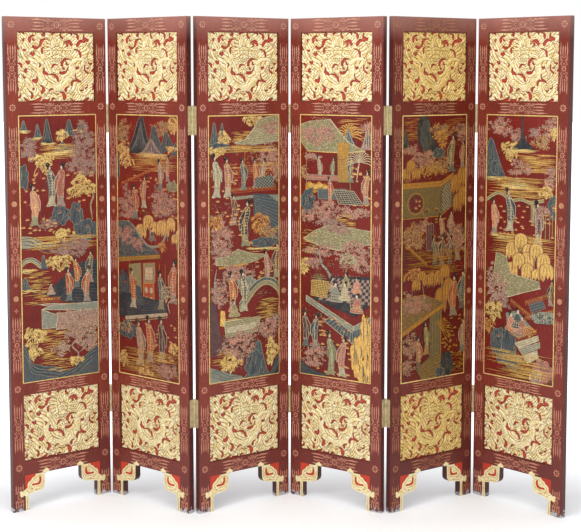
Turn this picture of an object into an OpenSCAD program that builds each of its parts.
// Six-leaf Chinese lacquer folding screen, millimetres.
// X runs along the screen, -Y is the painted front, +Z is up and the floor is z = 0.
// One leaf is drawn lying along X with its front face in the plane y = 0, and is then
// turned and set beside its neighbours so that the two halves of each hinge share a pin.

/* [Leaf] */
// Height of a leaf with its feet
leaf_h = 1830; // [1780:5:2000]
// Width of a leaf
leaf_w = 410; // [390:1:460]
// Thickness of a leaf
leaf_t = 25; // [24:0.5:32]
// Width of a stile
stile_w = 48; // [46:1:60]
// Bevel along the outer corners of a stile
edge_bevel = 1.2; // [0.5:0.1:2]

/* [Fields of a leaf, from the top down] */
// Height of the top rail
top_rail_h = 53.5; // [50:0.5:60]
// Height of the upper carving
upper_carving_h = 255.5; // [250:0.5:262]
// Height of the frieze rail under it
frieze_rail_h = 48; // [42:0.5:54]
// Height of the painted panel
scene_h = 992; // [900:1:1000]
// Height of the middle rail
middle_rail_h = 43; // [40:0.5:54]
// Height of the lower carving
lower_carving_h = 252; // [250:0.5:262]
// Height of the bottom rail
bottom_rail_h = 53; // [42:0.5:60]

/* [Joinery] */
// Thickness of the tongues and tenons
tongue_t = 10; // [8:0.5:12]
// Depth of a tongue in its groove
tongue_d = 8; // [6:0.5:9]
// Length of a tenon
tenon_l = 30; // [20:1:36]

/* [Carvings] */
// Width of the gilt fillet round a carving
fillet_w = 4; // [3:0.5:6]
// Height of the fillet above the ground of the carving
fillet_rise = 5; // [3:0.5:6]
// Height of the relief above its ground
relief_rise = 4; // [2:0.5:5]

/* [Spandrel brackets] */
// Reach of a bracket from the leg
bracket_reach = 80; // [64:1:90]
// Drop of a bracket below the bottom rail
bracket_drop = 74; // [70:1:78]
// Radius of the bracket's lower corner
bracket_corner_r = 24; // [14:1:28]
// Width of the strip that runs down the leg
leg_strip_w = 12; // [8:1:16]
// Rise of the carved front of a bracket, which laps the rail and the leg
bracket_rise = 2; // [1:0.25:2.5]

/* [Hinges] */
// Height of a hinge
hinge_h = 105; // [80:1:120]
// Middle of the upper hinge, from the top of the leaf
upper_hinge_down = 375; // [300:5:500]
// Middle of the lower hinge, from the top of the leaf
lower_hinge_down = 1455; // [1300:5:1480]
// Gap between the edges of two leaves in line
hinge_gap = 3; // [3:0.1:4]
// Distance of the pin from the face that it stands on
pin_out = 3.5; // [3.4:0.1:4]
// Radius of a pin
pin_r = 1.5; // [1.3:0.05:1.6]
// Radius of a knuckle
knuckle_r = 3.3; // [3.1:0.05:3.3]
// Width of a plate, into the thickness of the leaf
plate_w = 20; // [18:0.5:21]
// Thickness of a plate
plate_t = 1.6; // [1.4:0.1:1.6]

/* [Stance, degrees that each leaf turns from the line of the screen] */
// Leaf 1
turn_1 = 37; // [10:0.5:60]
// Leaf 2
turn_2 = 39; // [10:0.5:60]
// Leaf 3
turn_3 = 36.5; // [10:0.5:60]
// Leaf 4
turn_4 = 35.5; // [10:0.5:60]
// Leaf 5
turn_5 = 36; // [10:0.5:60]
// Leaf 6
turn_6 = 46; // [10:0.5:60]

/* [Hidden] */
$fn = 48;
lacquer_colour = "#8c4a3e";
panel_colour = "#7e3128";
gilt_colour = "#dcbc7c";
brass_colour = "#a59664";
screw_colour = "#8f8258";

leaf_count = 6;
fold_count = leaf_count - 1;
cut = 1; // how far a cutting solid runs past the face that it opens

// Heights of the fields, as their lowest z
top_rail_z = leaf_h - top_rail_h;
upper_carving_z = top_rail_z - upper_carving_h;
frieze_rail_z = upper_carving_z - frieze_rail_h;
scene_z = frieze_rail_z - scene_h;
middle_rail_z = scene_z - middle_rail_h;
lower_carving_z = middle_rail_z - lower_carving_h;
bottom_rail_z = lower_carving_z - bottom_rail_h;
rails = [[top_rail_z, top_rail_h], [frieze_rail_z, frieze_rail_h],
         [middle_rail_z, middle_rail_h], [bottom_rail_z, bottom_rail_h]];
openings = [[upper_carving_z, upper_carving_h], [scene_z, scene_h],
            [lower_carving_z, lower_carving_h]];
opening_w = leaf_w - 2 * stile_w;
tongue_y = (leaf_t - tongue_t) / 2;
tenon_inset = tongue_d + 1; // keeps a tenon clear of the grooves of its rail
hinge_heights = [leaf_h - upper_hinge_down, leaf_h - lower_hinge_down];

// Hinge details
bore_play = 0.05;
knuckle_count = 5;
knuckle_gap = 0.4;
knuckle_l = (hinge_h - (knuckle_count - 1) * knuckle_gap) / knuckle_count;
pin_head_r = 3;
pin_head_h = 2;
screw_r = 1.6;
screw_head_r = 3.4;
screw_l = 16;
screw_play = 0.05;
slot_w = 0.8;
slot_d = 0.7;
screw_rows = [-0.38, -0.13, 0.13, 0.38]; // shares of the hinge's height
screw_depths = [7, 13, 7, 13]; // across the thickness, from the pin's face

// Bracket details, u away from the leg and v down from the rail
slot_l = 44;
slot_u = 14;
slot_depth = 8;
slot_t = 8;

// Stance: leaves turn to the left and to the right by turns
turns = [turn_1, -turn_2, turn_3, -turn_4, turn_5, -turn_6];
function pin_in_front(fold) = fold % 2 == 1;
function pin_y(fold) = pin_in_front(fold) ? -pin_out : leaf_t + pin_out;
function turned(p, a) = [p.x * cos(a) - p.y * sin(a), p.x * sin(a) + p.y * cos(a)];
function chain_at(leaf) = leaf == 1 ? [0, 0] :
    chain_at(leaf - 1)
    + turned([leaf_w + hinge_gap / 2, pin_y(leaf - 1)], turns[leaf - 2])
    - turned([-hinge_gap / 2, pin_y(leaf - 1)], turns[leaf - 1]);
stile_outline = [[edge_bevel, 0], [stile_w, 0], [stile_w, leaf_t], [edge_bevel, leaf_t],
                 [0, leaf_t - edge_bevel], [0, edge_bevel]];
leaf_corners = [for (p = stile_outline) each [p, [leaf_w - p.x, p.y]]];
plan = [for (leaf = [1:leaf_count]) for (p = leaf_corners)
            chain_at(leaf) + turned(p, turns[leaf - 1])];
plan_x = [for (p = plan) p.x];
plan_y = [for (p = plan) p.y];
plan_middle = [(min(plan_x) + max(plan_x)) / 2, (min(plan_y) + max(plan_y)) / 2];

// The carving: a dragon along three arcs that run into each other, among clouds.
// Each arc is [centre, radius, first angle, last angle], from the panel's middle, and
// the body runs from the tail to the head.
coil_r = 86;
tail_r = 34;
neck_r = 40;
join_a = 30;
tail_w = 12;
body_w = 30;
path_steps = 56;
function polar(r, a) = [r * cos(a), r * sin(a)];
function bend(x, low, high) = low + (high - low) * x;
dragon_arcs = [
    [polar(coil_r + tail_r, 180 - join_a), tail_r, 150, -join_a],
    [[0, 0], coil_r, 180 - join_a, 360 + join_a],
    [polar(coil_r - neck_r, join_a), neck_r, join_a, 200]];
arc_ends = [0.22, 0.78, 1]; // shares of the body's length at which the arcs end
function arc_of(share) = share < arc_ends[0] ? 0 : share < arc_ends[1] ? 1 : 2;
function along(share) =
    let (k = arc_of(share), start = k == 0 ? 0 : arc_ends[k - 1], arc = dragon_arcs[k],
         angle = bend((share - start) / (arc_ends[k] - start), arc[2], arc[3]))
    [arc[0] + polar(arc[1], angle), angle, k == 0 ? -1 : 1];
function body_at(share, side) =
    let (place = along(share), half = bend(min(1, share / arc_ends[0]), tail_w, body_w) / 2)
    place[0] + side * place[2] * polar(half, place[1]);
dragon_body = [
    for (k = [0:path_steps]) body_at(k / path_steps, 1),
    for (k = [path_steps:-1:0]) body_at(k / path_steps, -1)];
head_at = [4, 4];
head_r = 24;
horn_r = 9;
pearl_at = [-46, 4];
pearl_r = 11;
cloud_r = 12;
// Middles of the clouds on the right half, repeated on the left
clouds = [[132, 104], [88, 104], [42, 106], [126, 66], [130, 30], [130, -6],
          [130, -42], [118, -76], [132, -107], [86, -106], [38, -42]];

leaf_pieces = ["left_stile", "right_stile", "rails", "scene_panel", "carved_panels",
               "brackets", "hinge_screws"];
fold_pieces = ["left_plates", "right_plates", "pins"];

// Sets what is drawn in a leaf's own frame where that leaf stands
module on_leaf(leaf)
    translate([chain_at(leaf).x - plan_middle.x, chain_at(leaf).y - plan_middle.y, 0])
    rotate([0, 0, turns[leaf - 1]])
    children();

// Draws on the left side of a leaf, or mirrored on its right side
module at_side(right)
    translate([right ? leaf_w : 0, 0, 0])
    mirror([right ? 1 : 0, 0, 0])
    children();

// Frame of one hinge half: x outward from the leaf's edge, y into its thickness from
// the face with the pin, z up from the middle of the hinge
module at_hinge(right, fold, z)
    translate([right ? leaf_w : 0, pin_in_front(fold) ? 0 : leaf_t, z])
    mirror([right ? 0 : 1, 0, 0])
    mirror([0, pin_in_front(fold) ? 0 : 1, 0])
    children();

// Every hinge half of one edge of a leaf, where that edge has a fold
module at_hinges(leaf, right) {
    fold = right ? leaf : leaf - 1;
    if (fold >= 1 && fold <= fold_count)
        for (z = hinge_heights)
            at_hinge(right, fold, z) children();
}

// Places of the screws of one plate, each with z pointing into the wood
module at_screws()
    for (k = [0:len(screw_rows) - 1])
        translate([0, screw_depths[k], screw_rows[k] * hinge_h])
        rotate([0, -90, 0])
        children();

// Wood that a hinge half takes out of the leaf's edge
module hinge_mortise() {
    translate([-plate_t, -cut, -hinge_h / 2])
        cube([plate_t + cut, plate_w + cut, hinge_h]);
    at_screws() cylinder(r = screw_r + screw_play, h = screw_l + screw_play);
}

module stile(leaf, right)
    color(lacquer_colour)
    difference() {
        at_side(right)
            difference() {
                linear_extrude(leaf_h) polygon(stile_outline);
                for (o = openings)
                    translate([stile_w - tongue_d, tongue_y, o[0] - tongue_d])
                        cube([tongue_d + cut, tongue_t, o[1] + 2 * tongue_d]);
                for (r = rails)
                    translate([stile_w - tenon_l, tongue_y, r[0] + tenon_inset])
                        cube([tenon_l + cut, tongue_t, r[1] - 2 * tenon_inset]);
            }
        at_hinges(leaf, right) hinge_mortise();
    }

// One rail with its tenons, grooved where a panel stands above or hangs below
module rail(r, groove_above, groove_below)
    difference() {
        union() {
            translate([stile_w, 0, r[0]]) cube([opening_w, leaf_t, r[1]]);
            translate([stile_w - tenon_l, tongue_y, r[0] + tenon_inset])
                cube([opening_w + 2 * tenon_l, tongue_t, r[1] - 2 * tenon_inset]);
        }
        if (groove_above)
            translate([stile_w - cut, tongue_y, r[0] + r[1] - tongue_d])
                cube([opening_w + 2 * cut, tongue_t, tongue_d + cut]);
        if (groove_below)
            translate([stile_w - cut, tongue_y, r[0] - cut])
                cube([opening_w + 2 * cut, tongue_t, tongue_d + cut]);
    }

module leaf_rails()
    color(lacquer_colour) {
        rail(rails[0], false, true);
        rail(rails[1], true, true);
        rail(rails[2], true, true);
        difference() {
            rail(rails[3], true, false);
            for (right = [false, true])
                at_side(right) bracket_tongue(0);
        }
    }

// A board with the tongue that its grooves hold
module tongued_board(o)
    translate([stile_w - tongue_d, tongue_y, o[0] - tongue_d])
        cube([opening_w + 2 * tongue_d, tongue_t, o[1] + 2 * tongue_d]);

module scene_panel()
    color(panel_colour) {
        tongued_board(openings[1]);
        translate([stile_w, 0, scene_z]) cube([opening_w, leaf_t, scene_h]);
    }

// A three-lobed cloud head
module cloud()
    for (lobe = [[0, 0, 1], [-0.9, -0.35, 0.7], [0.9, -0.35, 0.7]])
        translate([lobe.x, lobe.y] * cloud_r) circle(lobe.z * cloud_r);

module dragon_relief() {
    polygon(dragon_body);
    translate(head_at) circle(head_r);
    for (side = [-1, 1])
        translate(head_at + [side * head_r * 0.8, head_r * 0.9]) circle(horn_r);
    translate(pearl_at) circle(pearl_r);
    for (c = clouds)
        for (side = [-1, 1])
            translate([side * c.x, c.y]) cloud();
}

// A carved board: ground, fillet round it and relief on it
module carved_panel(o) {
    ground_w = opening_w - 2 * fillet_w;
    ground_h = o[1] - 2 * fillet_w;
    tongued_board(o);
    translate([stile_w + opening_w / 2, tongue_y, o[0] + o[1] / 2])
        rotate([90, 0, 0]) {
            linear_extrude(fillet_rise)
                difference() {
                    square([opening_w, o[1]], center = true);
                    square([ground_w, ground_h], center = true);
                }
            linear_extrude(relief_rise) dragon_relief();
        }
}

module carved_panels()
    color(gilt_colour) {
        carved_panel(openings[0]);
        carved_panel(openings[2]);
    }

// Turns an outline drawn in u and v into a slab of thickness t, its front at y = front
module bracket_slab(front, t)
    translate([stile_w, front + t, bottom_rail_z])
    rotate([90, 0, 0])
    linear_extrude(t)
    mirror([0, 1])
    children();

module bracket_outline() {
    corner = [bracket_reach - bracket_corner_r, bracket_drop - bracket_corner_r - 8];
    polygon([[0, 0], [bracket_reach, 0], [bracket_reach, corner.y], corner,
             [corner.x - 4, corner.y + bracket_corner_r - 0.5],
             [leg_strip_w, bracket_drop], [leg_strip_w, bottom_rail_z],
             [0, bottom_rail_z]]);
    translate(corner) circle(bracket_corner_r);
}

// Cloud heads that lap the rail above and the leg beside the bracket
module bracket_tips() {
    for (lobe = [[86, -8, 7.5], [77, -3, 6.5], [93, -5, 5.5]])
        translate([lobe.x, lobe.y]) circle(lobe.z);
    for (lobe = [[-14, 72, 7.5], [-17, 62, 6], [-6, 66, 7]])
        translate([lobe.x, lobe.y]) circle(lobe.z);
    polygon([[0, 52], [-8, 58], [-8, 74], [0, 78]]);
}

// Fields of the bracket's front that stay at the ground
module bracket_sunk_fields() {
    polygon([[-1, -1], [44, -1], [40, 8], [30, 12], [22, 22], [14, 26], [9, 34], [8, 48], [-1, 52]]);
    polygon([[56, 13], [62, 12], [66, 18], [65, 34], [60, 42], [50, 44], [28, 43], [25, 39],
             [28, 35], [44, 36], [52, 33], [56, 26]]);
    translate([27, 55]) circle(3);
    translate([42, 59]) circle(2.5);
}

// Tongue on top of a bracket, or the slot for it in the bottom rail
module bracket_tongue(play)
    translate([stile_w + slot_u, (leaf_t - slot_t) / 2, bottom_rail_z - cut])
        cube([slot_l, slot_t, slot_depth + cut - play]);

module bracket() {
    bracket_slab(0, leaf_t) bracket_outline();
    bracket_tongue(0.2);
    bracket_slab(-bracket_rise, bracket_rise)
        difference() {
            union() {
                bracket_outline();
                bracket_tips();
            }
            bracket_sunk_fields();
        }
}

module brackets()
    color(gilt_colour)
    for (right = [false, true])
        at_side(right) bracket();

// A countersunk screw with a cross slot, its head in the plane z = 0
module screw()
    difference() {
        rotate_extrude()
            polygon([[0, 0], [screw_head_r, 0], [screw_r, plate_t], [screw_r, screw_l - 3],
                     [0, screw_l]]);
        for (a = [0, 90])
            rotate([0, 0, a])
            translate([-screw_head_r * 0.7, -slot_w / 2, -cut])
            cube([screw_head_r * 1.4, slot_w, slot_d + cut]);
    }

module hinge_screws(leaf)
    color(screw_colour)
    for (right = [false, true])
        at_hinges(leaf, right)
        at_screws() screw();

// One hinge half with every second knuckle, from the given one up
module hinge_plate(first)
    difference() {
        union() {
            translate([-plate_t, 0, -hinge_h / 2]) cube([plate_t, plate_w, hinge_h]);
            for (k = [first:2:knuckle_count - 1])
                translate([0, 0, k * (knuckle_l + knuckle_gap) - hinge_h / 2]) {
                    translate([-plate_t, -pin_out, 0])
                        cube([plate_t, pin_out, knuckle_l]);
                    translate([hinge_gap / 2, -pin_out, 0])
                        cylinder(r = knuckle_r, h = knuckle_l);
                }
        }
        translate([hinge_gap / 2, -pin_out, -hinge_h / 2 - cut])
            cylinder(r = pin_r + bore_play, h = hinge_h + 2 * cut);
        at_screws()
            translate([0, 0, -0.01])
            cylinder(r1 = screw_head_r + screw_play, r2 = screw_r + screw_play,
                     h = plate_t + 0.02);
    }

module left_plates(fold)
    color(brass_colour)
    for (z = hinge_heights)
        at_hinge(true, fold, z) hinge_plate(0);

module right_plates(fold)
    color(brass_colour)
    for (z = hinge_heights)
        at_hinge(false, fold, z) hinge_plate(1);

module pins(fold)
    color(brass_colour)
    for (z = hinge_heights)
        at_hinge(true, fold, z)
        translate([hinge_gap / 2, -pin_out, 0]) {
            cylinder(r = pin_r, h = hinge_h, center = true);
            for (end = [-1, 1])
                translate([0, 0, end * (hinge_h + pin_head_h) / 2])
                cylinder(r = pin_head_r, h = pin_head_h, center = true);
        }

for (leaf = [1:leaf_count]) {
    on_leaf(leaf) stile(leaf, false);
    on_leaf(leaf) stile(leaf, true);
    on_leaf(leaf) leaf_rails();
    on_leaf(leaf) scene_panel();
    on_leaf(leaf) carved_panels();
    on_leaf(leaf) brackets();
    on_leaf(leaf) hinge_screws(leaf);
}
for (fold = [1:fold_count]) {
    on_leaf(fold) left_plates(fold);
    on_leaf(fold + 1) right_plates(fold);
    on_leaf(fold) pins(fold);
}
